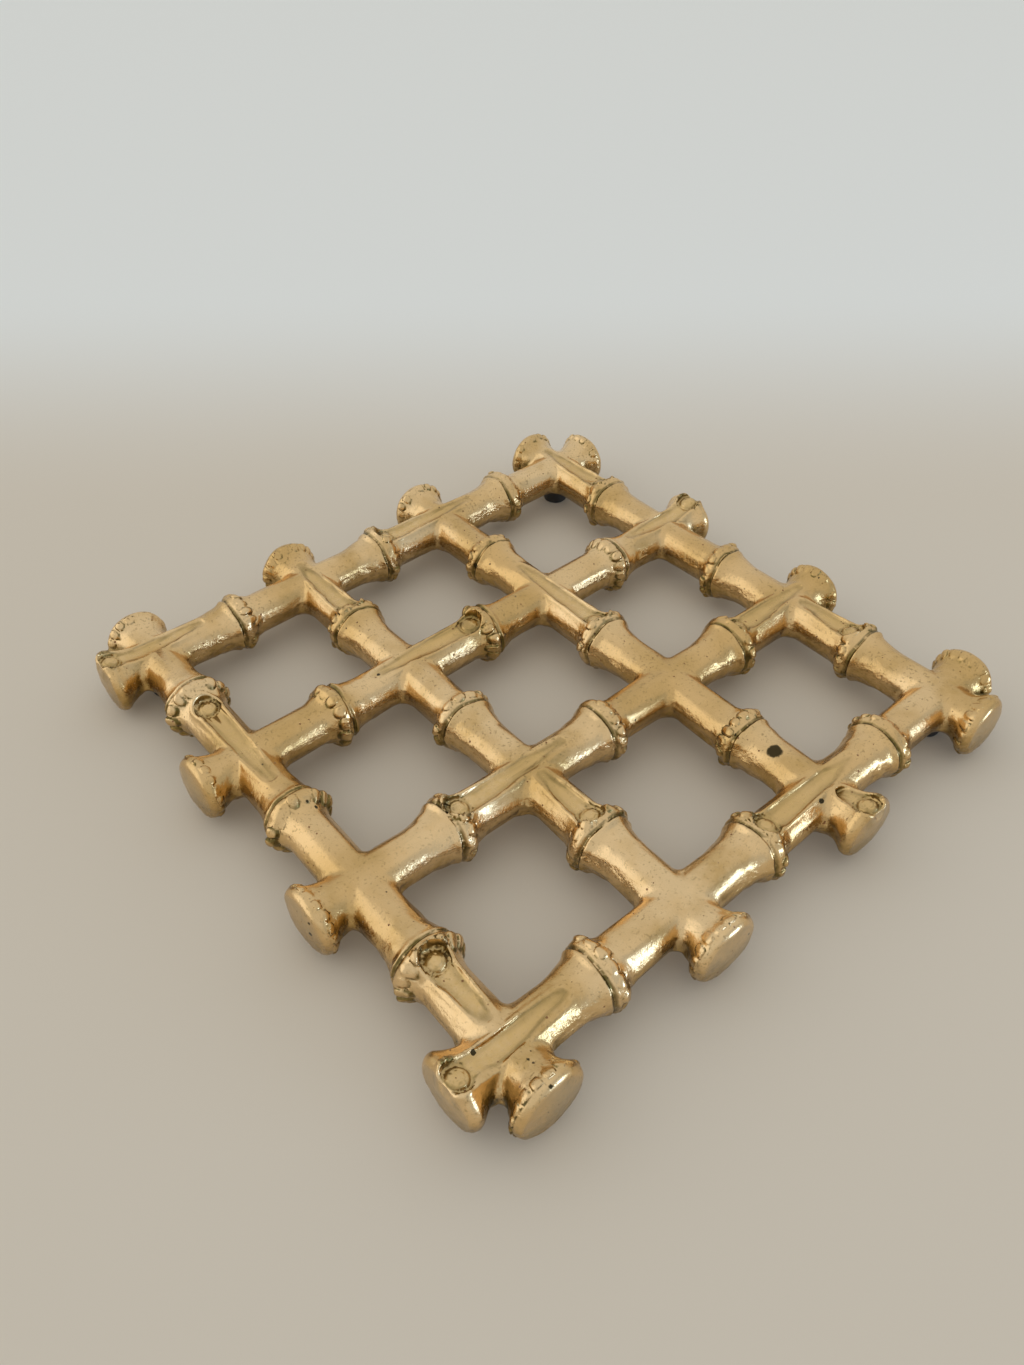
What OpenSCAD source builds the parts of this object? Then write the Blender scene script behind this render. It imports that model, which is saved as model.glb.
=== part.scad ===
// Square lattice trivet cast as crossed bamboo canes, on four screwed rubber feet

/* [Lattice] */
// Distance between the axes of neighbouring canes
pitch = 52.5; // [50:0.5:56]
// Reach of each cane end beyond the outer crossing
stub_l = 16.5; // [15.5:0.5:18]
// Diameter of a cane between its nodes
cane_d = 12.4; // [11.6:0.2:13.2]
// Radius of the fillet in each corner of a crossing
corner_r = 3.2; // [2.4:0.2:4]
// Height of the web that carries the corner fillets
web_h = 6.6; // [5:0.4:8.6]

/* [Nodes] */
// Diameter over the crest of a node
node_d = 18.2; // [17:0.2:19.4]
// Reach of the long flare on the older side of a node
flare_l = 12; // [10.5:0.5:13]
// Reach of the short fall on the growing side of a node
fall_l = 8; // [7:0.5:9]
// Rounding radius of the crest
crest_r = 2.4; // [2:0.2:2.8]
// Distance of the sheath scar before mid-span
scar_offset = 2.8; // [2.4:0.2:3.2]
// Width of the raised lip of the sheath scar
scar_w = 1.1; // [0.8:0.1:1.4]

/* [Buds] */
// Distance of a bud past its node
bud_offset = 3.6; // [3.2:0.2:4.2]
// Distance of an end bud past the outer crossing
end_bud_offset = 12.6; // [12:0.2:13]
// Diameter of a bud, a flat disc
bud_d = 4.4; // [3.8:0.2:5]
// Height of that disc above the furrow's floor
bud_h = 0.6; // [0.4:0.1:0.8]
// Diameter of the ring pressed into its top
bud_ring_d = 2.8; // [2.2:0.2:3]
// Diameter of the pocket round the bud
pocket_d = 7; // [6.4:0.2:7.2]
// Length of the furrow that runs from a bud
furrow_l = 35; // [32:1:38]
// Length of the furrow that runs from an end bud
end_furrow_l = 26; // [22:1:29]
// Distance before a crossing at which a column's furrow ends where a row's furrow runs over
furrow_gap = 4.2; // [3.6:0.2:5]
// Width of the furrow at the bud
furrow_w = 6.2; // [5.6:0.2:6.8]
// Depth of the furrow at the bud
furrow_t = 1.2; // [0.8:0.1:1.5]
// Depth of the furrow at its tip
furrow_tip_t = 0.3; // [0.2:0.05:0.4]

/* [Cane ends] */
// Diameter over the rim of a cane end
rim_d = 18; // [17:0.2:19.4]
// Reach of the flare behind the rim
rim_flare_l = 8.5; // [7:0.5:9.5]
// Rounding radius of the rim
rim_r = 1.7; // [1.2:0.1:2.2]

/* [Feet] */
// Clearance between the table and the casting, taken over its nodes and its rims
ground_gap = 2.15; // [1.75:0.1:2.85]
// Height of a foot
foot_h = 4.5; // [4.2:0.1:4.7]
// Diameter of a foot where it meets the casting
foot_d = 9; // [8.6:0.1:10]
// Diameter of a foot where it stands
foot_base_d = 8.2; // [8:0.1:8.6]
// Rounding radius of the foot's lower edge
foot_edge_r = 0.5; // [0.3:0.1:0.7]
// Diameter of the recess that hides the screw head
recess_d = 6.2; // [5.9:0.1:6.4]
// Depth of that recess
recess_t = 2.4; // [2.2:0.1:2.6]

/* [Fasteners] */
// Outer diameter of the washer moulded into the foot
washer_d = 6.8; // [6.5:0.1:7]
// Thickness of the washer
washer_t = 0.6; // [0.4:0.1:0.8]
// Nominal diameter of the screw
screw_d = 3; // [2.6:0.1:3.2]
// Length of the screw under its head
screw_l = 8; // [7:0.5:9]
// Diameter of the screw head
head_d = 5.5; // [5:0.1:5.7]
// Height of the screw head
head_h = 1.8; // [1.5:0.1:2]
// Width of the slot in the screw head
slot_w = 0.8; // [0.6:0.1:1]
// Clearance round the screw in the washer and in its tapped hole
screw_gap = 0.1; // [0.05:0.05:0.2]

/* [Hidden] */
// Canes each way; crossings are counted from the older end of a cane
cane_count = 4;
// Growing direction of each cane along X, from the front one to the back one
row_growth = [1, 1, -1, 1];
// Growing direction of each cane along Y, from the left one to the right one
column_growth = [-1, 1, 1, 1];
// First crossing of each cane that a furrow runs over; the next one is two crossings on
row_first_bud = [0, 1, 0, 0];
column_first_bud = [1, 1, 0, 1];
bud_step = 2;
// Sides of the trivet, left or right and front or back, where the feet stand
front_left = [-1, -1];
front_right = [1, -1];
back_left = [-1, 1];
back_right = [1, 1];

cane_r = cane_d / 2;
node_rise = node_d / 2 - cane_r;
rim_rise = rim_d / 2 - cane_r;
swelling_d = (node_d + rim_d) / 2;
axis_z = swelling_d / 2 + ground_gap;
lattice_w = (cane_count - 1) * pitch;
cane_l = lattice_w + 2 * stub_l;
// Share of the cane's radius by which a flare starts inside it, so that the two arcs cross
flare_sink_share = 0.01;
// Share of the furrow's width that is left at its tip
furrow_tip_share = 0.45;
// How far the floor's line under the bud runs on past it, as a share of its length
furrow_back_share = 2;
// Share of the disc's height by which the ring is pressed in
bud_ring_share = 0.4;

// Cast boss that carries a foot, and the tapped hole in it
boss_d = foot_d;
washer_z = recess_t;
screw_seat_z = washer_z;
screw_top_z = screw_seat_z + screw_l;
tap_top_z = screw_top_z + screw_d / 2;
tap_point_h = screw_d / 4;
// Share of the head's height that the slot takes, and of the shank's radius that its tip loses
slot_depth_share = 0.5;
screw_tip_share = 0.25;
// Room that lets a cut run past a face
cut = cane_d / 20;
$fn = 48;

function crossing(k) = (k - (cane_count - 1) / 2) * pitch;
function mid_span(k) = crossing(k) + pitch / 2;

// Radius of the hollow arc that falls from a swelling, and the cane's radius at x past its crest
function hollow_r(reach, rise, round_r) = (pow(reach, 2) + pow(rise, 2)) / (2 * rise) - round_r;
function swell_r(x, reach, rise, round_r) =
    let (r = hollow_r(reach, rise, round_r))
    cane_r * (1 - flare_sink_share) + r - sqrt(pow(r, 2) - pow(reach - x, 2));

// Half section of a swelling, from its crest back down to the cane along the hollow arc
module flare(reach, rise, round_r) {
    foot_r = cane_r * (1 - flare_sink_share);
    arc_r = hollow_r(reach, rise, round_r);
    crest = [cane_r + rise - round_r, 0];
    hollow = [foot_r + arc_r, -reach];
    touch = crest + (hollow - crest) * round_r / (arc_r + round_r);
    difference() {
        polygon([[0, -reach], [foot_r, -reach], touch, crest, [0, 0]]);
        translate(hollow)
            circle(r = arc_r, $fn = 180);
    }
}

// Half section of a node: long flare, raised sheath scar, crest and short fall
module node_section() {
    flare(flare_l, node_rise, crest_r);
    mirror([0, 1])
        flare(fall_l, node_rise, crest_r);
    translate([node_d / 2 - crest_r, 0])
        circle(r = crest_r);
    translate([swell_r(scar_offset, flare_l, node_rise, crest_r), -scar_offset])
        circle(d = scar_w);
}

// Half section of a cane end: short flare to a rounded rim and a flat face
module rim_section() {
    translate([0, cane_l / 2 - rim_r]) {
        flare(rim_flare_l, rim_rise, rim_r);
        translate([rim_d / 2 - rim_r, 0])
            circle(r = rim_r);
        square([rim_d / 2 - rim_r, rim_r]);
    }
}

module cane_body() {
    rotate([0, 90, 0])
        rotate_extrude() {
            translate([0, -cane_l / 2])
                square([cane_r, cane_l]);
            for (k = [0 : cane_count - 2])
                translate([0, mid_span(k)])
                    node_section();
            rim_section();
            mirror([0, 1])
                rim_section();
        }
}

// Place of the bud whose furrow runs over crossing k, and the swelling that it lies against
function bud_x(k) = k == 0 ? crossing(0) - end_bud_offset : mid_span(k - 1) + bud_offset;
function bud_past(k) = k == 0 ? stub_l - rim_r - end_bud_offset : bud_offset;
function fall_reach(k) = k == 0 ? rim_flare_l : fall_l;
function crest_height(k) = k == 0
    ? swell_r(bud_past(k), rim_flare_l, rim_rise, rim_r)
    : swell_r(bud_past(k), fall_l, node_rise, crest_r);
function furrow_reach(k, met) = met ? crossing(k) - bud_x(k) - furrow_gap
    : k == 0 ? end_furrow_l
    : k < cane_count - 1 ? furrow_l
    : pitch / 2 - bud_offset + stub_l - rim_r - rim_flare_l;

// Whether a furrow of a cane that grows this way runs over its crossing with the cane at that place
function own_crossing(growth, at) = growth > 0 ? at : cane_count - 1 - at;
function runs_over(growth, first_bud, at) =
    let (k = own_crossing(growth, at))
    k >= first_bud && (k - first_bud) % bud_step == 0;
// Whether a row's furrow runs over a column's own crossing k, which ends the column's furrow there
function met_by_row(column, k) =
    let (row = own_crossing(column_growth[column], k))
    runs_over(row_growth[row], row_first_bud[row], column);

// The furrow's floor seen from the side: under the bud, where the swelling ends, and at its tip
function floor_bud(k) = [0, crest_height(k) - furrow_t];
function floor_low(k) = [fall_reach(k) - bud_past(k), cane_r - furrow_t];
function floor_tip(k, met) = [furrow_reach(k, met), cane_r - furrow_tip_t];
function floor_slope(k) = atan((floor_bud(k)[1] - floor_low(k)[1]) / floor_low(k)[0]);

// Flat-floored cut that starts in a round pocket at the bud and runs out along the cane
module furrow(k, met) {
    back = floor_low(k) + (floor_bud(k) - floor_low(k)) * furrow_back_share;
    tip = floor_tip(k, met);
    tip_w = furrow_w * furrow_tip_share;
    intersection() {
        linear_extrude(height = rim_d) {
            circle(d = pocket_d);
            polygon([
                [0, -furrow_w / 2], [tip[0], -tip_w / 2], [tip[0], tip_w / 2], [0, furrow_w / 2]
            ]);
        }
        rotate([90, 0, 0])
            linear_extrude(height = 2 * pocket_d, center = true)
                polygon([back, floor_low(k), tip, [tip[0], rim_d], [back[0], rim_d]]);
    }
}

// Bud on the furrow's floor: a disc with a ring pressed into its top
module bud(k) {
    translate([0, 0, floor_bud(k)[1]])
        rotate([0, floor_slope(k), 0])
            rotate_extrude()
                difference() {
                    translate([0, -bud_h])
                        square([bud_d / 2, 2 * bud_h]);
                    translate([bud_ring_d / 2, bud_h])
                        circle(r = bud_h * bud_ring_share);
                }
}

// Children drawn along each cane's own axis: rows lie along X, columns along Y
module at_row(k) {
    translate([0, crossing(k), axis_z])
        mirror([row_growth[k] < 0 ? 1 : 0, 0, 0])
            children();
}

module at_column(k) {
    translate([crossing(k), 0, axis_z])
        rotate([0, 0, 90])
            mirror([column_growth[k] < 0 ? 1 : 0, 0, 0])
                children();
}

module row_furrows(j) {
    at_row(j)
        for (k = [row_first_bud[j] : bud_step : cane_count - 1])
            translate([bud_x(k), 0, 0])
                furrow(k, false);
}

module column_furrows(j) {
    at_column(j)
        for (k = [column_first_bud[j] : bud_step : cane_count - 1])
            translate([bud_x(k), 0, 0])
                furrow(k, met_by_row(j, k));
}

module buds(first_bud) {
    for (k = [first_bud : bud_step : cane_count - 1])
        translate([bud_x(k), 0, 0])
            bud(k);
}

// Four hollow corners that fill the angles of a crossing
module corner_web() {
    edge = sqrt(pow(cane_r, 2) - pow(web_h / 2, 2));
    for (turn = [0 : 90 : 270])
        rotate([0, 0, turn])
            linear_extrude(height = web_h, center = true)
                difference() {
                    square(edge + corner_r);
                    translate([edge + corner_r, edge + corner_r])
                        circle(r = corner_r);
                }
}

module at_foot(side) {
    translate([side[0], side[1], 0] * lattice_w / 2)
        children();
}

module foot_boss() {
    translate([0, 0, foot_h])
        cylinder(h = axis_z - foot_h, d = boss_d);
}

module tapped_hole() {
    tap_r = screw_d / 2 + screw_gap;
    translate([0, 0, foot_h - cut]) {
        cylinder(h = tap_top_z - foot_h + cut, r = tap_r);
        translate([0, 0, tap_top_z - foot_h + cut])
            cylinder(h = tap_point_h, r1 = tap_r, r2 = 0);
    }
}

module lattice() {
    color("darkgoldenrod") {
        difference() {
            union() {
                for (k = [0 : cane_count - 1]) {
                    at_row(k)
                        cane_body();
                    at_column(k)
                        cane_body();
                }
                for (j = [0 : cane_count - 1])
                    for (k = [0 : cane_count - 1])
                        translate([crossing(j), crossing(k), axis_z])
                            corner_web();
                for (side = [front_left, front_right, back_left, back_right])
                    at_foot(side)
                        foot_boss();
            }
            for (k = [0 : cane_count - 1]) {
                row_furrows(k);
                column_furrows(k);
            }
            for (side = [front_left, front_right, back_left, back_right])
                at_foot(side)
                    tapped_hole();
        }
        for (k = [0 : cane_count - 1]) {
            at_row(k)
                buds(row_first_bud[k]);
            at_column(k)
                buds(column_first_bud[k]);
        }
    }
}

// Rubber foot, turned from its half section: recess for the head, seat for the washer
module foot() {
    color("dimgray")
        rotate_extrude()
            difference() {
                union() {
                    polygon([
                        [0, foot_edge_r], [foot_base_d / 2, foot_edge_r],
                        [foot_d / 2, foot_h], [0, foot_h]
                    ]);
                    square([foot_base_d / 2 - foot_edge_r, foot_edge_r]);
                    translate([foot_base_d / 2 - foot_edge_r, foot_edge_r])
                        circle(r = foot_edge_r);
                }
                translate([0, -cut])
                    square([recess_d / 2, recess_t + cut]);
                translate([0, washer_z])
                    square([washer_d / 2, washer_t]);
                square([screw_d / 2 + screw_gap, foot_h + cut]);
            }
}

module washer() {
    color("silver")
        translate([0, 0, washer_z])
            difference() {
                cylinder(h = washer_t, d = washer_d);
                translate([0, 0, -cut])
                    cylinder(h = washer_t + 2 * cut, r = screw_d / 2 + screw_gap);
            }
}

// Slotted cheese-head screw, head down
module screw() {
    tip = screw_d / 2 * screw_tip_share;
    color("silver")
        translate([0, 0, screw_seat_z])
            difference() {
                union() {
                    translate([0, 0, -head_h])
                        cylinder(h = head_h, d = head_d);
                    cylinder(h = screw_l - tip, d = screw_d);
                    translate([0, 0, screw_l - tip])
                        cylinder(h = tip, r1 = screw_d / 2, r2 = screw_d / 2 - tip);
                }
                translate([-head_d, -slot_w / 2, -head_h - cut])
                    cube([2 * head_d, slot_w, head_h * slot_depth_share + cut]);
            }
}

lattice();
at_foot(front_left) foot();  // foot_front_left
at_foot(front_right) foot();  // foot_front_right
at_foot(back_left) foot();  // foot_back_left
at_foot(back_right) foot();  // foot_back_right
at_foot(front_left) washer();  // washer_front_left
at_foot(front_right) washer();  // washer_front_right
at_foot(back_left) washer();  // washer_back_left
at_foot(back_right) washer();  // washer_back_right
at_foot(front_left) screw();  // screw_front_left
at_foot(front_right) screw();  // screw_front_right
at_foot(back_left) screw();  // screw_back_left
at_foot(back_right) screw();  // screw_back_right
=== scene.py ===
import math

import bmesh
import bpy
import numpy as np
from mathutils import Matrix, Vector


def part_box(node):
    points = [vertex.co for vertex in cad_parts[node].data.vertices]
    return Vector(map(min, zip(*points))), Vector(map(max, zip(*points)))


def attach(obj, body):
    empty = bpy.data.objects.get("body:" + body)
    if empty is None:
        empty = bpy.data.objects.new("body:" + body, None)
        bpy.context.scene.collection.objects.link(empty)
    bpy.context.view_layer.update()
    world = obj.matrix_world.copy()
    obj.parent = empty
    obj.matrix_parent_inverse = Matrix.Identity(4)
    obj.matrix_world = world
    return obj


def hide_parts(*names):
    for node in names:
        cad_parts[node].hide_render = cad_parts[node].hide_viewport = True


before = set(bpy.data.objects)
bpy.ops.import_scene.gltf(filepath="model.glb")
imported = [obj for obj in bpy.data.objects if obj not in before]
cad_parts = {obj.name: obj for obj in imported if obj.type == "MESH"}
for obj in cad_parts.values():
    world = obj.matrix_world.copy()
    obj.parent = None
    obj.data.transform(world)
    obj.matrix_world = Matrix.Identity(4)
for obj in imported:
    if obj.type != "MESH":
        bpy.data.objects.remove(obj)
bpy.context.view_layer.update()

# Brass trivet cast as crossed bamboo canes. The shaping below works in millimetres, the meshes are in metres.
millimetre = 0.001
rng = np.random.default_rng(21)


# Cane settings: one casting of four canes each way, with the pieces' places taken from the CAD box
cane = {
    "stub": 16.5,  # reach of a cane end past the outer crossing
    "waist": 6.2,  # radius between nodes
    "node": 8.75,  # radius of a node under its beads
    "flare": 12.5,  # reach of the long flare on the older side of a node
    "fall": 6.5,  # reach of the short fall on the growing side
    "crest": 2.2,  # rounding of the crest
    "rim": 8.9,  # radius of a cane end
    "rimFlare": 8.5,
    "rimRound": 2.2,
    "rimDome": 1.0,  # how far the middle of an end face stands proud
    "rimTilt": 0.025,  # how far an end is cut out of square, as a slope
    "corner": 2.9,  # blend between crossing canes at the height of their axes, none where both face up
    "cornerLow": 4.4,  # the same below, where the casting left a web
    "webTop": (0, -3),  # heights from the axes over which the web sets in
    "webFoot": (-7, -4),  # and over which it ends
    "ripple": 0.10,  # wander of the hand-filed surface
    "dents": 0.045,  # the same over a few millimetres
    "grain": 0.028,  # pebbled skin of the sides that no file reached
    "filed": 4.5,  # height above the axes from which the file took that skin away
}
uneven = {
    "slip": 0.5,  # how far nodes sit off their places
    "lean": 0.45,  # how far they lean across the cane
    "size": 0.03,  # how much their rise varies, as a share
    "rim": 0.02,  # the same for the cane ends
}
# Growing direction of each cane, front to back and left to right, and the first crossing its furrow runs over
growth = np.array([[1, 1, -1, 1], [-1, 1, 1, 1]])
firstBud = np.array([[0, 1, 0, 0], [1, 1, 0, 1]])

lip = {  # sheath scar before a node
    "place": -2.9,
    "height": 0.42,
    "before": 0.95,
    "after": 0.38,
    "wander": 0.16,
    "shiver": 0.12,
    "uneven": 0.3,
}
groove = {"place": -2.05, "depth": 0.28, "width": 0.32}
secondRing = {"place": -1.1, "height": 0.24, "width": 0.4}  # slim ring that shows on the sides only
bead = {
    "count": 15,
    "place": 1.2,
    "long": 1.75,  # half length along the cane
    "share": 0.9,  # share of the room between neighbours that a bead fills
    "height": 0.72,
    "worn": 0.6,  # share of the height left on the crown
    "square": 2.4,
    "outline": 0.15,  # depth of the line pressed in past its far side
    "tall": 0.28,  # how much their heights vary, as a share
    "between": (0.3, 1.6),  # shares that no height goes past
    "lost": 0.12,  # share of the beads that the casting missed
    "wide": (0.84, 1.08),
    "longest": (0.75, 1.1),
    "slip": 0.28,
}
rimBead = {
    "count": 17,
    "place": -1.1,
    "long": 1.7,
    "share": 0.84,
    "height": 0.38,
    "square": 2.6,
    "outline": 0.03,
    "tall": 0.3,
    "between": (0.2, 1.5),
    "lost": 0.1,
    "longest": (0.6, 1.1),
    "slip": 0.15,
}
scale = {  # what both sorts of bead share
    "fade": 0.75,  # how much slower its near side falls off
    "line": 1.35,  # place of the line past its far side
    "lineWide": 0.28,
}
furrow = {
    "pocket": 7.0,
    "width": 6.2,
    "depth": 1.55,
    "length": 35.0,
    "endLength": 29.0,
    "gap": 4.2,  # where it meets a cane whose furrow runs over it, it ends so far before that cane's axis
    "tip": 0.62,  # share of its width left at the tip
    "kept": 0.12,  # share of its depth left there
    "lip": 0.5,  # rounding of its edge
    "ridge": 0.5,  # how far the edge stands up
    "dish": 0.55,  # how far the floor rises to its sides
    "neck": 0.8,  # blend of the pocket round the bud into the furrow
    "budShare": 0.9,  # share of its depth that it has at the bud
    "run": 1.5,  # how far past the node's fall its floor reaches its full depth
    "fade": 1.7,  # how late its floor rises towards the tip
    "foot": 0.6,  # rounding between floor and side
    "ridgePlace": 0.55,
    "ridgeWide": 0.75,
    "ridgeFade": 0.6,  # share of the ridge lost at the tip
    "ridgeFrom": (2.0, 5.0),  # heights above the axis over which the ridge sets in
    "ridgeTo": (9.7, 8.6),  # and over which it ends, so that it stays under the beads
}
bud = {
    "past": 3.6,  # distance past the node
    "endPast": 12.6,  # distance past the outer crossing for a bud on a stub
    "size": (0.86, 1.08),  # shares between which buds vary in size
    "button": 2.6,
    "height": 0.85,
    "ring": 1.6,  # radius of the shallow ring pressed into the button
    "ringWide": 0.24,
    "ringDepth": 0.15,
    "moat": 2.85,
    "moatWide": 0.36,
    "moatDepth": 0.28,
}
# Where single buds sit off their rule: cane family, cane, bud, shift along the growth and across
budShifts = [(1, 0, 0, 3.0, 0.0), (0, 0, 0, 0.0, -1.1)]
boss = {"radius": 4.5, "seat": 4.5, "hole": 1.6, "holeTop": 11.9, "blend": 1.2, "clear": 1}

latticeLow, latticeHigh = (np.array(corner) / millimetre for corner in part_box("lattice"))
reach = latticeHigh[0]
pitch = (reach - cane["stub"]) / 1.5
axisHeight = (latticeLow[2] + latticeHigh[2]) / 2


def waves(count, length):  # random waves of about one length, for an even unevenness
    way = rng.normal(size=(count, 3))
    way /= np.linalg.norm(way, axis=1)[:, None]
    way *= 2 * math.pi / length * rng.uniform(0.7, 1.5, (count, 1))
    return way, rng.uniform(0, 2 * math.pi, count)


def rippleOf(points, wave):
    way, start = wave
    return np.sin(points @ way.T + start).sum(1) / math.sqrt(len(start) / 2)


def smoothStep(low, high, value):
    t = np.clip((value - low) / (high - low), 0, 1)
    return t * t * (3 - 2 * t)


def hump(value, middle, width):  # a smooth rise of 1 at the middle
    return np.exp(-(((value - middle) / width) ** 2))


def blendUnion(a, b, width):
    h = np.clip(width - np.abs(a - b), 0, None) / width
    return np.minimum(a, b) - h * h * width / 4


def blendCut(a, cutter, width):
    return -blendUnion(-a, cutter, width)


def swell(u, length, rise, crest):  # radius gained at u from a round crest, past which an arc falls hollow
    hollow = (length**2 + rise**2) / (2 * rise) - crest
    x = np.minimum(np.abs(u), length)
    arc = hollow - np.sqrt(hollow**2 - (length - x) ** 2)
    dome = rise - crest + np.sqrt(np.maximum(crest**2 - x**2, 0))
    return np.where(x < length * crest / (hollow + crest), dome, arc)


# One entry for each family, cane and node, so that no two nodes are alike
nodeShape = (2, 4, 3)
nodeSlip = rng.normal(0, uneven["slip"], nodeShape)
nodeLean = rng.normal(0, uneven["lean"], nodeShape)
nodeTurn = rng.uniform(0, 2 * math.pi, nodeShape)
nodeSize = rng.normal(1, uneven["size"], nodeShape)
beadCount = bead["count"] + rng.integers(-1, 2, nodeShape)
beadPhase = rng.uniform(0, 2 * math.pi, nodeShape)
beadMost = bead["count"] + 2
eachBead = nodeShape + (beadMost,)
beadTall = np.clip(rng.normal(1, bead["tall"], eachBead), *bead["between"])
beadTall *= rng.random(eachBead) > bead["lost"]
beadWide = rng.uniform(*bead["wide"], eachBead)
beadLong = rng.uniform(*bead["longest"], eachBead)
beadSlip = rng.normal(0, bead["slip"], eachBead)
endShape = (2, 4, 2)
endSize = rng.normal(1, uneven["rim"], endShape)
endTilt = rng.normal(0, cane["rimTilt"], endShape + (2,))
eachBead = endShape + (rimBead["count"],)
endBeadTall = np.clip(rng.normal(1, rimBead["tall"], eachBead), *rimBead["between"])
endBeadTall *= rng.random(eachBead) > rimBead["lost"]
endBeadSlip = rng.normal(0, rimBead["slip"], eachBead)
endPhase = rng.uniform(0, 2 * math.pi, endShape)
endBeadLong = rng.uniform(*rimBead["longest"], endShape)
lipWave = rng.uniform(0, 2 * math.pi, nodeShape + (3,))
budShift = np.zeros((2, 4, 2, 2))
budSize = rng.uniform(*bud["size"], (2, 4, 2))
for family, which, order, along, across in budShifts:
    budShift[family, which, order] = along, across


def scaleOf(across, along, square, outline):  # a flat-topped scale, crisp on its far side only
    near = np.where(along < 0, scale["fade"] * along, along)
    q = np.abs(across) ** square + np.abs(near) ** square
    line = outline * hump(q, scale["line"], scale["lineWide"]) * smoothStep(-0.2, 0.5, along)
    return 1 - np.minimum(q, 1) ** 2, line


def beadBand(s, turn, family, which, node):  # root beads that follow a node's groove
    count = beadCount[family, which, node]
    step = 2 * math.pi / count
    place = (turn - beadPhase[family, which, node]) / step
    slot = np.rint(place)
    m = slot.astype(int) % count
    across = (place - slot) * 2 / (bead["share"] * beadWide[family, which, node, m])
    long = bead["long"] * beadLong[family, which, node, m]
    along = (s - bead["place"] - beadSlip[family, which, node, m]) / long
    worn = bead["worn"] + (1 - bead["worn"]) * np.sin(turn) ** 2  # the crown has been rubbed down
    tall = bead["height"] * beadTall[family, which, node, m] * worn
    top, line = scaleOf(across, along, bead["square"], bead["outline"])
    return tall * top - line


def nodeRadius(s, turn, family, which):
    node = np.clip(np.rint(s / pitch), -1, 1).astype(int)
    u = s - node * pitch
    node += 1
    lean = nodeLean[family, which, node] * np.cos(turn - nodeTurn[family, which, node])
    u = u - nodeSlip[family, which, node] - lean
    rise = cane["node"] * nodeSize[family, which, node] - cane["waist"]
    radius = cane["waist"] + np.where(
        u < 0, swell(u, cane["flare"], rise, cane["crest"]), swell(u, cane["fall"], rise, cane["crest"])
    )
    wave = lipWave[family, which, node]
    wander = lip["wander"] * np.sin(2 * turn + wave[:, 0]) + lip["shiver"] * np.sin(5 * turn + wave[:, 1])
    edge = u - lip["place"] - wander
    tall = lip["height"] * (1 + lip["uneven"] * np.sin(3 * turn + wave[:, 2]))
    width = np.where(edge < 0, lip["before"], lip["after"])
    radius = radius + tall * hump(edge, 0, width)
    radius -= groove["depth"] * hump(u - wander, groove["place"], groove["width"])
    ring = hump(u - wander, secondRing["place"], secondRing["width"])
    radius += secondRing["height"] * ring * np.sin(turn) ** 2
    return radius + beadBand(u, turn, family, which, node)


def rimRadius(e, turn, radius, family, which, end):
    rise = cane["rim"] * endSize[family, which, end] - cane["waist"]
    gain = swell(e, cane["rimFlare"], rise, cane["rimRound"])
    step = 2 * math.pi / rimBead["count"]
    place = (turn - endPhase[family, which, end]) / step
    slot = np.rint(place)
    m = slot.astype(int) % rimBead["count"]
    across = (place - slot) * 2 / rimBead["share"]
    along = (e - rimBead["place"] - endBeadSlip[family, which, end, m]) / rimBead["long"]
    along /= endBeadLong[family, which, end]
    bare = (end == 0) & (firstBud[family, which] == 0)  # a bud takes their room
    tall = rimBead["height"] * endBeadTall[family, which, end, m] * ~bare
    top, line = scaleOf(across, -along, rimBead["square"], rimBead["outline"])
    return radius + gain + tall * top - line * ~bare


def caneField(s, t, z, family, which):  # how far a point lies outside its nearest cane of one family
    r = np.hypot(t, z)
    turn = np.arctan2(t, z)
    end = (s > 0).astype(int)
    tilt = endTilt[family, which, end]
    e = np.abs(s) - (reach - cane["rimRound"] - cane["rimDome"]) + tilt[:, 0] * t + tilt[:, 1] * z
    radius = rimRadius(np.minimum(e, 0), turn, nodeRadius(s, turn, family, which), family, which, end)
    side = r - radius
    core = cane["rim"] * endSize[family, which, end] - cane["rimRound"]
    dome = cane["rimDome"] * (1 - np.minimum(r / core, 1) ** 2)
    cap = np.where(r > core, np.hypot(e, r - core) - cane["rimRound"], e - cane["rimRound"] - dome)
    return np.where(e > 0, cap, side)


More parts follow.
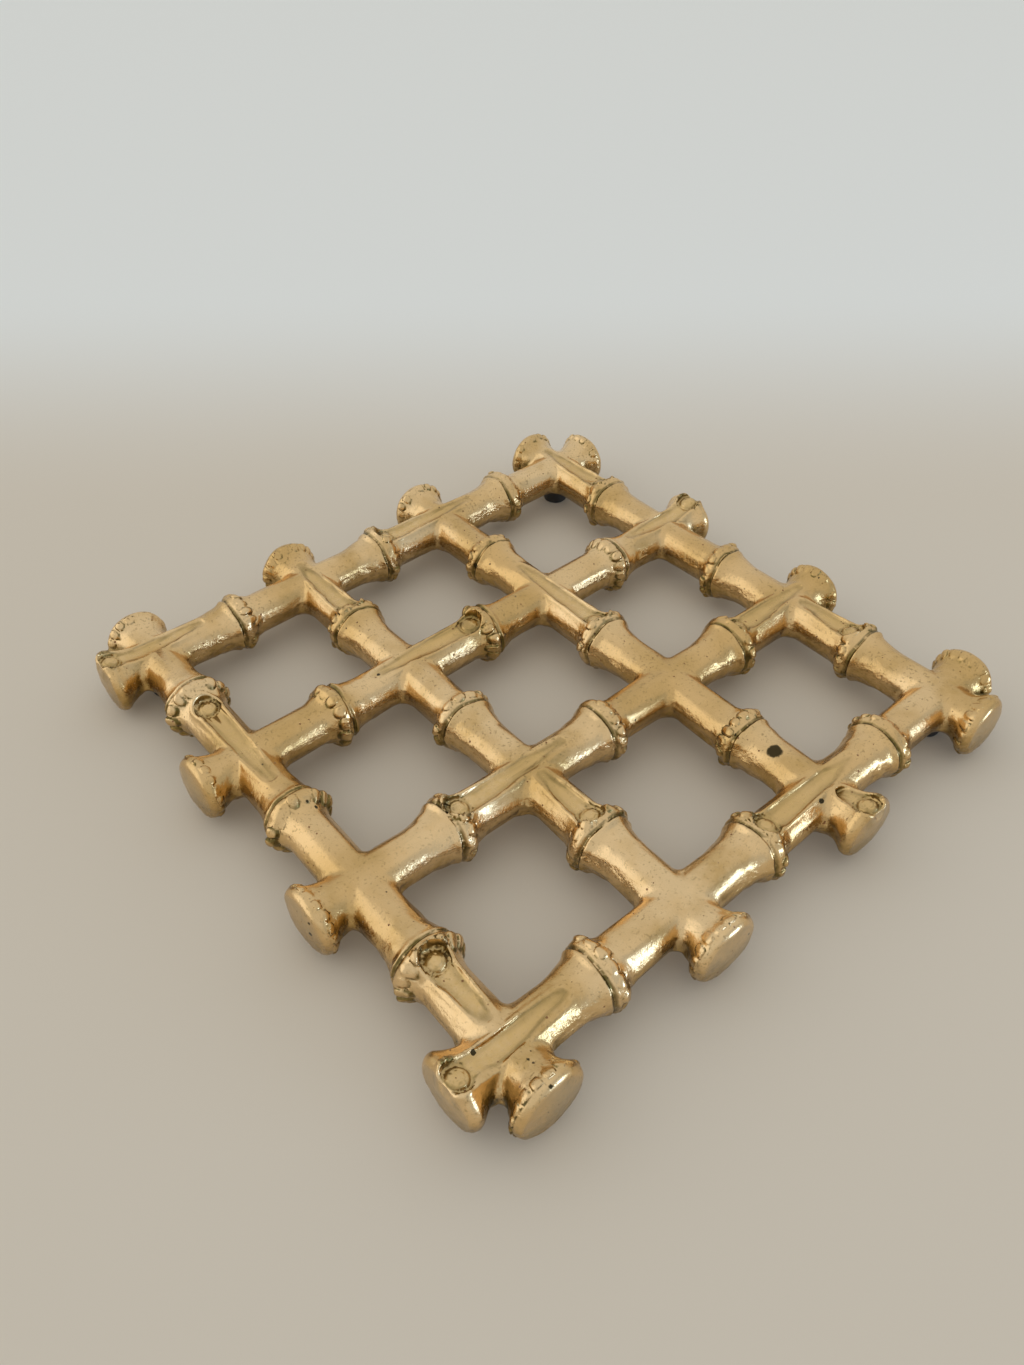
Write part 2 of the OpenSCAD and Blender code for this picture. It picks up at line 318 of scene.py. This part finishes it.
def furrowField(s, t, z, family, which, short):  # below zero in a furrow, the distance to its edge, its ridge
    first = firstBud[family, which]
    order = (s > (first - 0.5) * pitch).astype(int)
    crossing = first + 2 * order
    atEnd = crossing == 0
    shift = budShift[family, which, order]
    place = np.where(atEnd, -1.5 * pitch - bud["endPast"], (crossing - 2) * pitch + bud["past"])
    x = s - place - shift[:, 0]
    y = t - shift[:, 1]
    reachLast = pitch / 2 - bud["past"] + cane["stub"] - cane["rimRound"] - cane["rimFlare"]
    length = np.where(atEnd, furrow["endLength"], np.where(crossing == 3, reachLast, furrow["length"]))
    toCrossing = np.where(atEnd, bud["endPast"], pitch / 2 - bud["past"])
    length = np.where(short, toCrossing - furrow["gap"], length)
    share = np.clip(x / length, 0, 1)
    half = furrow["width"] / 2 * (1 - (1 - furrow["tip"]) * share)
    along = np.clip(x, 0, length - furrow["tip"] * furrow["width"] / 2)
    outline = blendUnion(np.hypot(x, y) - furrow["pocket"] / 2, np.hypot(x - along, y) - half, furrow["neck"])
    fallLength = np.where(atEnd, cane["rimFlare"], cane["fall"])
    past = np.where(atEnd, cane["stub"] - cane["rimRound"] - bud["endPast"], bud["past"]) + shift[:, 0]
    top = np.where(
        atEnd,
        swell(past, cane["rimFlare"], cane["rim"] - cane["waist"], cane["rimRound"]),
        swell(past, cane["fall"], cane["node"] - cane["waist"], cane["crest"]),
    )
    budFloor = cane["waist"] + top - furrow["depth"] * furrow["budShare"]
    lowX = fallLength - past + furrow["run"]
    lowZ = cane["waist"] - furrow["depth"]
    slope = (budFloor - lowZ) / lowX
    ahead = s - (np.ceil(place / pitch)) * pitch  # to the next node's crest
    rise = swell(np.minimum(ahead, 0), cane["flare"], cane["node"] - cane["waist"], cane["crest"])
    fade = np.clip((x - lowX) / np.maximum(length - lowX, 2), 0, 1) ** furrow["fade"]
    lost = furrow["depth"] * (1 - furrow["kept"]) * fade
    floor = np.where(x < lowX, lowZ + (lowX - x) * slope, lowZ + lost + rise)
    tilt = np.arctan(slope)
    above = x * np.sin(tilt) + (z - budFloor) * np.cos(tilt)
    flat = np.hypot(x * np.cos(tilt) - (z - budFloor) * np.sin(tilt), y)
    flat = flat / budSize[family, which, order]
    button = bud["height"] * np.clip(1 - (flat / bud["button"]) ** 4, 0, 1)
    button -= bud["ringDepth"] * hump(flat, bud["ring"], bud["ringWide"])
    button -= bud["moatDepth"] * hump(flat, bud["moat"], bud["moatWide"])
    dish = furrow["dish"] * np.clip(y / np.maximum(half, 0.5), -1, 1) ** 2
    depth = np.where(flat < furrow["pocket"] / 2, button - above, floor - z + dish)
    cut = blendUnion(-outline, -depth, furrow["foot"])
    edge = furrow["ridge"] * (1 - furrow["ridgeFade"] * share**2)
    return -cut, outline, edge * hump(outline, furrow["ridgePlace"], furrow["ridgeWide"])


def crossingOf(line, family, which):  # whether a furrow of the cane runs over its crossing with a line
    crossing = np.where(growth[family, which] > 0, line, 3 - line)
    first = firstBud[family, which]
    return (crossing >= first) & ((crossing - first) % 2 == 0)


def latticeField(points, furrows=False):  # how far points lie outside the casting, or how well in a furrow
    x, y, z = points.T
    z = z - axisHeight
    line = [np.clip(np.rint(v / pitch + 1.5), 0, 3).astype(int) for v in (y, x)]
    off = [v - (w - 1.5) * pitch for v, w in zip((y, x), line)]
    fields, cuts, outlines = [], [], []
    marked = [crossingOf(line[1 - family], family, line[family]) for family in (0, 1)]
    under = marked[0] & marked[1]  # there the row's furrow runs over and ends the column's
    for family, (along, across) in enumerate(((x, off[0]), (y, -off[1]))):
        which = line[family]
        s = along * growth[family, which]
        cut, outline, edge = furrowField(s, across, z, family, which, under & (family == 1))
        onTop = smoothStep(*furrow["ridgeFrom"], z) * smoothStep(*furrow["ridgeTo"], z)
        ridge = edge * onTop * marked[family]
        fields.append(caneField(s, across, z, family, which) - ridge)
        cuts.append(cut)
        outlines.append(outline)
    facing = np.clip(z, 0, None) ** 2 / (np.hypot(off[0], z) * np.hypot(off[1], z) + 0.01)
    low = cane["cornerLow"] - cane["corner"]
    low *= smoothStep(*cane["webTop"], z) * smoothStep(*cane["webFoot"], z)
    width = 0.05 + cane["corner"] * np.clip(1 - facing, 0, 1) + low
    d = blendUnion(fields[0], fields[1], width)
    for cut, here in zip(cuts, marked):
        d = np.where(here, blendCut(d, cut, furrow["lip"]), d)
    if furrows:
        inside = []
        for outline, cut, field, here in zip(outlines, cuts, fields, marked):
            onFloor = smoothStep(0.5, 0.15, np.abs(cut)) * smoothStep(-0.1, -0.6, field)
            inside.append(smoothStep(0.3, -0.3, outline) * onFloor * here)
        return np.maximum(*inside)
    fromFoot = np.hypot(np.abs(x) - 1.5 * pitch, np.abs(y) - 1.5 * pitch)
    d = blendUnion(d, np.maximum(fromFoot - boss["radius"], z), boss["blend"])
    hole = np.maximum(fromFoot - boss["hole"], z + axisHeight - boss["holeTop"])
    seat = np.where(fromFoot < boss["radius"] + boss["clear"], boss["seat"] - axisHeight - z, -axisHeight)
    return np.maximum(np.maximum(d, seat), -hole)


def slopeOf(points, value, step=0.02):
    return np.stack([(latticeField(points + step * axis) - value) / step for axis in np.eye(3)], 1)


def settle(points, target, rounds=2):  # moves points onto the cast surface, twice along each slope found
    farthest = 0.4  # of one move
    for _ in range(rounds):
        value = latticeField(points)
        slope = slopeOf(points, value)
        square = np.maximum((slope**2).sum(1), 0.05)
        for again in (True, False):
            step = ((target - value) / square)[:, None] * slope
            far = np.maximum(np.linalg.norm(step, axis=1) / farthest, 1)
            points = points + step / far[:, None]
            if again:
                value = latticeField(points)
    return points


def pointsOf(mesh):
    found = np.empty(len(mesh.vertices) * 3)
    mesh.vertices.foreach_get("co", found)
    return found.reshape(-1, 3) / millimetre


def putPoints(mesh, points):
    mesh.vertices.foreach_set("co", (points * millimetre).astype(np.float32).ravel())
    mesh.update()


def applied(piece):  # the mesh with its modifiers made real
    graph = bpy.context.evaluated_depsgraph_get()
    mesh = bpy.data.meshes.new_from_object(piece.evaluated_get(graph), depsgraph=graph)
    piece.modifiers.clear()
    old = piece.data
    piece.data = mesh
    bpy.data.meshes.remove(old)
    return mesh


def remeshed(piece, size):
    again = piece.modifiers.new("remesh", "REMESH")
    again.mode = "VOXEL"
    again.voxel_size = size * millimetre
    return applied(piece)


latticeMesh = {
    "coarse": 0.8,
    "fine": 0.38,
    "faces": 196000,  # left after thinning, densest where the shape bends most
    "crease": 0.5,  # how far out the small hollows are felt
    "hollow": 2.4,  # the same for the large ones
    "feel": 0.08,  # how far to each side the slope is felt that the normals follow
}
skinWaves = {"ripple": waves(14, 9), "dents": waves(16, 4), "grain": waves(16, 1.5)}


def skinOf(points):  # unevenness that filing and the mould left
    unfiled = smoothStep(cane["filed"], 0, points[:, 2] - axisHeight)
    atRim = smoothStep(reach - 6, reach - 2, np.abs(points[:, :2]).max(1))
    wander = cane["ripple"] * rippleOf(points, skinWaves["ripple"]) * (1 - 0.4 * atRim)
    wander += cane["dents"] * rippleOf(points, skinWaves["dents"]) * (1 + unfiled) * (1 - 0.8 * atRim)
    return wander + cane["grain"] * unfiled * rippleOf(points, skinWaves["grain"])


def thinned(piece, faces):
    fewer = piece.modifiers.new("thinned", "DECIMATE")
    fewer.ratio = faces / (2 * len(piece.data.polygons))
    return applied(piece)


def marksOf(points, normals):  # how hollow the casting is at two scales, and where furrows and end faces are
    at = latticeField(points)
    slope = np.maximum(np.linalg.norm(slopeOf(points, at), axis=1), 0.3)
    marks = []
    for reachOut in (latticeMesh["crease"], latticeMesh["hollow"]):
        felt = (latticeField(points + normals * reachOut) - at) / (reachOut * slope)
        marks.append(np.clip(1 - felt, 0, 1))
    marks.append(latticeField(points, furrows=True))
    atEdge = smoothStep(reach - 2, reach - 0.6, np.abs(points[:, :2]).max(1))
    marks.append(smoothStep(0.75, 0.95, np.abs(normals[:, :2]).max(1)) * atEdge)
    return np.stack(marks, 1)


def makeLattice():
    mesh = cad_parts["lattice"].data.copy()
    piece = bpy.data.objects.new("cast_lattice", mesh)
    bpy.context.scene.collection.objects.link(piece)
    shell = bmesh.new()
    shell.from_mesh(mesh)
    bmesh.ops.remove_doubles(shell, verts=shell.verts, dist=0.01 * millimetre)
    shell.to_mesh(mesh)
    shell.free()
    mesh = remeshed(piece, latticeMesh["coarse"])
    putPoints(mesh, settle(pointsOf(mesh), 0))
    mesh = remeshed(piece, latticeMesh["fine"])
    points = pointsOf(mesh)
    print("lattice: remeshed to", len(points), "points")
    putPoints(mesh, settle(points, 0))
    mesh = thinned(piece, latticeMesh["faces"])
    points = pointsOf(mesh)
    print("lattice: thinned to", len(points), "points")
    points = settle(points, skinOf(points))
    putPoints(mesh, points)
    ways = np.concatenate([np.eye(3), -np.eye(3)]) * latticeMesh["feel"]
    around = [latticeField(points + way) - skinOf(points + way) for way in ways]
    normals = np.stack([around[k] - around[k + 3] for k in range(3)], 1)
    normals /= np.maximum(np.linalg.norm(normals, axis=1), 1e-6)[:, None]
    marks = mesh.attributes.new("marks", "FLOAT_COLOR", "POINT")
    marks.data.foreach_set("color", marksOf(points, normals).astype(np.float32).ravel())
    mesh.polygons.foreach_set("use_smooth", np.ones(len(mesh.polygons), bool))
    mesh.normals_split_custom_set_from_vertices(normals)
    return piece


piece = makeLattice()
print("lattice:", len(piece.data.vertices), "points")
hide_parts("lattice")
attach(piece, "root")


class Wire:  # an output of a shader node; sums on it add Math nodes
    def __init__(self, socket):
        self.socket = socket
        self.tree = socket.id_data

    def make(self, kind, settings=None, values=None, output=None):
        node = self.tree.nodes.new(kind)
        for name, value in (settings or {}).items():
            setattr(node, name, value)
        for name, value in (values or {}).items():
            found = (i for i in node.inputs if i.enabled and i.name == name)
            socket = node.inputs[name] if isinstance(name, int) else next(found)
            if isinstance(value, Wire):
                self.tree.links.new(value.socket, socket)
            else:
                socket.default_value = value
        found = (o for o in node.outputs if o.enabled and output in (None, o.name))
        return Wire(next(found))

    def other(self, name):
        return Wire(self.socket.node.outputs[name])

    def reckon(self, operation, *values):
        return self.make("ShaderNodeMath", {"operation": operation}, dict(enumerate(values)))

    def __add__(self, other):
        return self.reckon("ADD", self, other)

    def __sub__(self, other):
        return self.reckon("SUBTRACT", self, other)

    def __rsub__(self, other):
        return self.reckon("SUBTRACT", other, self)

    def __mul__(self, other):
        return self.reckon("MULTIPLY", self, other)

    def __truediv__(self, other):
        return self.reckon("DIVIDE", self, other)

    def __rtruediv__(self, other):
        return self.reckon("DIVIDE", other, self)

    __radd__ = __add__
    __rmul__ = __mul__

    def clamped(self):
        return self.make("ShaderNodeClamp", {}, {"Value": self})

    def step(self, low, high):  # 0 up to low, 1 from high
        settings = {"interpolation_type": "SMOOTHSTEP"}
        return self.make("ShaderNodeMapRange", settings, {"Value": self, "From Min": low, "From Max": high})

    def mix(self, a, b):  # from a to b as this goes from 0 to 1
        return self.make("ShaderNodeMix", {"data_type": "RGBA"}, {"Factor": self, "A": a, "B": b})

    def noise(self, size, detail=2.0, rough=0.5):  # noise whose features are about so many millimetres
        values = {"Vector": self, "Scale": 1 / (size * millimetre), "Detail": detail, "Roughness": rough}
        return self.make("ShaderNodeTexNoise", {}, values)

    def channel(self, name):  # one channel of a colour
        return self.make("ShaderNodeSeparateColor", {}, {"Color": self}, name)

    def towards(self, way):  # how far this place or direction lies along a way
        return self.make("ShaderNodeVectorMath", {"operation": "DOT_PRODUCT"}, {0: self, 1: way}, "Value")

    def bumped(self):  # the normal that this height in metres gives
        return self.make("ShaderNodeBump", {}, {"Height": self, "Strength": 1.0, "Distance": 1.0})


def newFinish(name):  # a material, its shader and the place on the object
    material = bpy.data.materials.new(name)
    material.use_nodes = True
    shader = material.node_tree.nodes["Principled BSDF"]
    place = Wire(shader.outputs["BSDF"]).make("ShaderNodeTexCoord", output="Object")
    return material, shader, place


def join(shader, name, wire):
    wire.tree.links.new(wire.socket, shader.inputs[name])


brassLook = {
    "clean": (0.90, 0.65, 0.35, 1),
    "warm": (0.76, 0.50, 0.21, 1),
    "tarnish": (0.61, 0.395, 0.145, 1),
    # colour the lower sides darken towards: partly patina, partly painted shade and painted dark reflection
    # of the shaded ground under the canes
    "low": (0.31, 0.205, 0.06, 1),
    "floorOfFurrow": (0.78, 0.53, 0.215, 1),
    # colour of stains and specks, also used for the painted shade in the hollows between crossing canes
    "stainAndShade": (0.17, 0.125, 0.035, 1),
    "patina": (0.17, 0.12, 0.04, 1),
    "deep": (0.03, 0.024, 0.01, 1),
    "rust": (0.27, 0.10, 0.035, 1),
    "endGrey": (0.52, 0.425, 0.28, 1),
    "rough": 0.22,
    "grain": 0.025,  # heights of the cast skin in millimetres
    "pebble": 0.07,
    "pit": 0.16,
    "pitRoom": 1.5,  # distance between places where a pit may be
    # Stains and holes of this casting, where they lie in millimetres, with their radii
    "marks": [
        (24.3, -64.7, 17.0, 1.9),
        (-36.5, 25.9, 17.0, 0.5),
        (18.7, 50.8, 13.6, 0.9),
        (20.3, -82.4, 16.3, 0.7),
        (21.2, -54.4, 17.1, 0.4),
        (-85.4, -77.2, 17.0, 0.55),
        (-78.5, -85.6, 17.4, 0.5),
        (-79.3, -93.8, 20.0, 0.6),
        (-94.8, -30.5, 12.9, 0.6),
        (-94.5, -30.1, 16.5, 0.5),
        (-76.4, -1.2, 18.3, 0.45),
        (-75.2, -3.0, 16.7, 0.45),
    ],
}


def brassFinish():
    look = brassLook
    material, shader, place = newFinish("cast brass")
    marks = place.make("ShaderNodeAttribute", {"attribute_name": "marks"}, {}, "Color")
    crease = marks.channel("Red")
    hollow, inFurrow = crease.other("Green"), crease.other("Blue")
    face = marks.other("Alpha")
    large, middle, small = place.noise(38, 1), place.noise(7, 3, 0.6), place.noise(1.3, 3, 0.6)
    cloud, speck, fine = place.noise(19, 3, 0.55), place.noise(0.8, 2, 0.6), place.noise(0.4, 2, 0.7)
    # Dirt stayed in the corners that polishing didn't reach
    dirt = crease.step(0.25, 0.95) * (0.35 + 0.45 * large.step(0.3, 0.6))
    dirt = (dirt * (0.6 + 0.8 * small)).clamped()
    # Hollows between the crossing canes darken: partly patina, partly painted shade where the canes meet
    stainAndShade = hollow.step(0.08, 0.6) * (0.5 + 0.9 * middle) * (0.7 + 0.6 * small)
    stainAndShade = (stainAndShade * (1 - 0.6 * inFurrow)).clamped()
    deep = (crease - 0.7 + 0.4 * (middle - 0.5)).step(0.05, 0.4)
    deep = (deep * large.step(0.35, 0.6) * 0.3).clamped()
    # Pinholes of the casting, thicker in patches
    cellSize = {"Vector": place, "Scale": 1 / (look["pitRoom"] * millimetre)}
    cells = place.make("ShaderNodeTexVoronoi", {}, cellSize, "Distance")
    chance = cells.other("Color").channel("Red")
    spread = chance.other("Green")
    patch = place.noise(16, 2).step(0.42, 0.68)
    wanted = (chance + 0.5 * patch).step(0.92, 0.95)
    pit = (0.08 + 0.15 * spread * spread - cells).step(0, 0.06) * wanted
    colour = large.step(0.35, 0.7).mix(look["clean"], look["warm"])
    colour = (middle.step(0.45, 0.75) * 0.4).mix(colour, look["warm"])
    colour = (cloud.step(0.42, 0.68) * (0.3 + 0.9 * small)).clamped().mix(colour, look["tarnish"])
    colour = (speck.step(0.56, 0.72) * (0.25 + 0.3 * patch)).mix(colour, look["stainAndShade"])
    height = place.make("ShaderNodeSeparateXYZ", {}, {"Vector": place}, "Z") / millimetre
    # Darker towards the bottom: partly patina, partly painted shade and painted dark reflection under the
    # canes
    low = (1 - height.step(7, 15)) * (0.65 + 2.0 * (middle - 0.35) + 2.2 * (small - 0.5))
    colour = (low.clamped() * 0.85).mix(colour, look["low"])
    # The grey wear stays off the lowest part of each end face, so that the painted shade there shows through
    worn = face * height.step(3, 13) * (0.2 + 1.4 * (middle - 0.2))
    colour = worn.clamped().mix(colour, look["endGrey"])
    furrowDirt = (inFurrow * (0.4 + 1.6 * (small - 0.4))).clamped()
    colour = furrowDirt.mix(colour, look["floorOfFurrow"])
    brink = inFurrow * (1 - inFurrow) * (0.2 + 6 * (middle - 0.35))
    colour = brink.clamped().mix(colour, look["stainAndShade"])
    colour = stainAndShade.mix(colour, look["stainAndShade"])
    colour = dirt.mix(colour, look["patina"])
    colour = deep.mix(colour, look["deep"])
    rusty = chance.step(0.92, 0.98).mix(look["rust"], look["deep"])
    colour = (pit * 0.85).mix(colour, rusty)
    for x, y, z, size in look["marks"]:
        spot = Vector((x, y, z)) * millimetre
        away = place.make("ShaderNodeVectorMath", {"operation": "DISTANCE"}, {0: place, 1: spot}, "Value")
        mark = 1 - (away / millimetre + 1.4 * (small - 0.5)).step(size * 0.85, size * 1.15)
        colour = (mark * 0.95).mix(colour, look["deep"])
    join(shader, "Base Color", colour)
    join(shader, "Metallic", 1 - (dirt * 0.35 + pit * 0.5 + deep * 0.3).clamped())
    rough = look["rough"] + 0.12 * (middle - 0.5) + 0.2 * dirt + 0.06 * inFurrow
    rough = rough + 0.1 * face + 0.3 * pit + 0.08 * stainAndShade
    join(shader, "Roughness", rough.clamped())
    flank = 1 - height.step(11.5, 17)
    skin = fine * look["grain"] * (1 + flank)
    skin = skin + small * look["pebble"] * (1 + inFurrow + face + 3.5 * flank) - pit * look["pit"]
    join(shader, "Normal", (skin * millimetre).bumped())
    return material


piece.data.materials.clear()
piece.data.materials.append(brassFinish())

rubberLook = {
    "colour": (0.018, 0.018, 0.018, 1),
    "worn": (0.05, 0.048, 0.045, 1),
    "rough": 0.55,
    "grain": 0.03,  # height of its skin in millimetres
}


def rubberFinish():
    material, shader, place = newFinish("black rubber")
    cloud, grain = place.noise(3, 3, 0.6), place.noise(0.25, 2, 0.6)
    join(shader, "Base Color", cloud.step(0.45, 0.8).mix(rubberLook["colour"], rubberLook["worn"]))
    join(shader, "Roughness", rubberLook["rough"] + 0.25 * (cloud - 0.5))
    height = (grain * rubberLook["grain"] + cloud * rubberLook["grain"]) * millimetre
    join(shader, "Normal", height.bumped())
    return material


steelLook = {"colour": (0.62, 0.61, 0.58, 1), "dull": (0.36, 0.34, 0.30, 1), "rough": 0.3, "grain": 0.008}


def steelFinish(name):
    material, shader, place = newFinish(name)
    cloud, grain = place.noise(2.5, 3, 0.6), place.noise(0.3, 2, 0.6)
    join(shader, "Base Color", cloud.step(0.4, 0.75).mix(steelLook["colour"], steelLook["dull"]))
    join(shader, "Roughness", steelLook["rough"] + 0.3 * (cloud - 0.4))
    shader.inputs["Metallic"].default_value = 1
    height = grain * steelLook["grain"] * millimetre
    join(shader, "Normal", height.bumped())
    return material


finishes = {
    "foot": rubberFinish(),
    "washer": steelFinish("washer steel"),
    "screw": steelFinish("screw steel"),
}
for name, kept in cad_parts.items():
    kind = name.split("_")[0]
    if kind in finishes:
        kept.data.materials.clear()
        kept.data.materials.append(finishes[kind])
print("feet, washers and screws: finished")

floorLook = {
    "near": (0.73, 0.655, 0.54, 1),
    "far": (0.88, 0.895, 0.86, 1),
    "away": (0.65, 0.76, 0),  # way in which it turns from near to far, between two distances in metres
    "from": 0.10,
    "to": 0.30,
    "size": 30,
    "rough": 0.9,
}


def makeFloor():
    mesh = bpy.data.meshes.new("floor")
    size = floorLook["size"]
    corners = [(-size, -size, 0), (size, -size, 0), (size, size, 0), (-size, size, 0)]
    mesh.from_pydata(corners, [], [(0, 1, 2, 3)])
    floor = bpy.data.objects.new("floor", mesh)
    bpy.context.scene.collection.objects.link(floor)
    material, shader, place = newFinish("pale floor")
    far = place.towards(floorLook["away"]).step(floorLook["from"], floorLook["to"])
    join(shader, "Base Color", far.mix(floorLook["near"], floorLook["far"]))
    shader.inputs["Roughness"].default_value = floorLook["rough"]
    mesh.materials.append(material)


makeFloor()
print("floor: laid")

view = {
    "azimuth": -40.10,
    "elevation": 43.58,
    "roll": -0.51,
    "distance": 285.9,
    "right": -7.19,  # the point aimed at, in millimetres from the middle of the casting
    "up": -0.82,
    "lens": 26.35,
}


def makeCamera():
    turn, rise = math.radians(view["azimuth"]), math.radians(view["elevation"])
    back = Vector((math.sin(turn) * math.cos(rise), -math.cos(turn) * math.cos(rise), math.sin(rise)))
    right = Vector((math.cos(turn), math.sin(turn), 0))
    up = back.cross(right)
    data = bpy.data.cameras.new("camera")
    data.lens = view["lens"]
    camera = bpy.data.objects.new("camera", data)
    bpy.context.scene.collection.objects.link(camera)
    aim = Vector((0, 0, axisHeight)) + right * view["right"] + up * view["up"]
    turned = Matrix((right, up, back)).transposed() @ Matrix.Rotation(math.radians(view["roll"]), 3, "Z")
    place = (aim + back * view["distance"]) * millimetre
    camera.matrix_world = Matrix.LocRotScale(place, turned.to_quaternion(), None)
    bpy.context.scene.camera = camera


makeCamera()
print("camera: placed")

window = {
    "toward": (0.47, -0.87, 0.125),
    "distance": 1.5,
    "size": (0.85, 0.31),
    "power": 2.4,
    "spread": 120,  # degrees, so that the floor below it doesn't glare
    "colour": (0.47, 0.66, 1.0),
}


def makeWindow():
    data = bpy.data.lights.new("window", "AREA")
    data.shape = "RECTANGLE"
    data.size, data.size_y = window["size"]
    data.energy = window["power"]
    data.spread = math.radians(window["spread"])
    data.color = window["colour"]
    place = Vector(window["toward"]) * window["distance"]
    light = bpy.data.objects.new("window", data)
    light.location = place
    light.rotation_mode = "QUATERNION"
    light.rotation_quaternion = place.to_track_quat("Z", "Y")
    bpy.context.scene.collection.objects.link(light)


makeWindow()
print("window: lit")

room = {
    "wall": (0.66, 0.665, 0.66, 1),
    "ceiling": (0.70, 0.70, 0.69, 1),
    "low": (0.57, 0.555, 0.51, 1),
    "side": (1.12, 1.11, 1.09, 1),  # wall on the left, which takes the daylight full on
    "toSide": (-0.78, 0.53, 0.25),
    "backlit": (0.50, 0.53, 0.56, 1),  # wall round the window
}


def makeRoom():
    world = bpy.data.worlds.new("room")
    bpy.context.scene.world = world
    world.use_nodes = True
    background = world.node_tree.nodes["Background"]
    way = Wire(background.outputs["Background"]).make("ShaderNodeTexCoord", output="Generated")
    z = way.make("ShaderNodeSeparateXYZ", {}, {"Vector": way}, "Z")
    toSide = way.towards(Vector(room["toSide"]).normalized())
    toWindow = way.towards(Vector(window["toward"]).normalized())
    colour = z.step(0.12, 0.38).mix(room["low"], room["wall"])
    colour = z.step(0.8, 1.0).mix(colour, room["ceiling"])
    colour = (toSide.step(0.66, 0.92) * 0.9).mix(colour, room["side"])
    colour = (toWindow.step(0.68, 0.84) * 0.9).mix(colour, room["backlit"])
    join(background, "Color", colour)


makeRoom()
print("room: lit")

bpy.context.scene.view_settings.view_transform = "Standard"
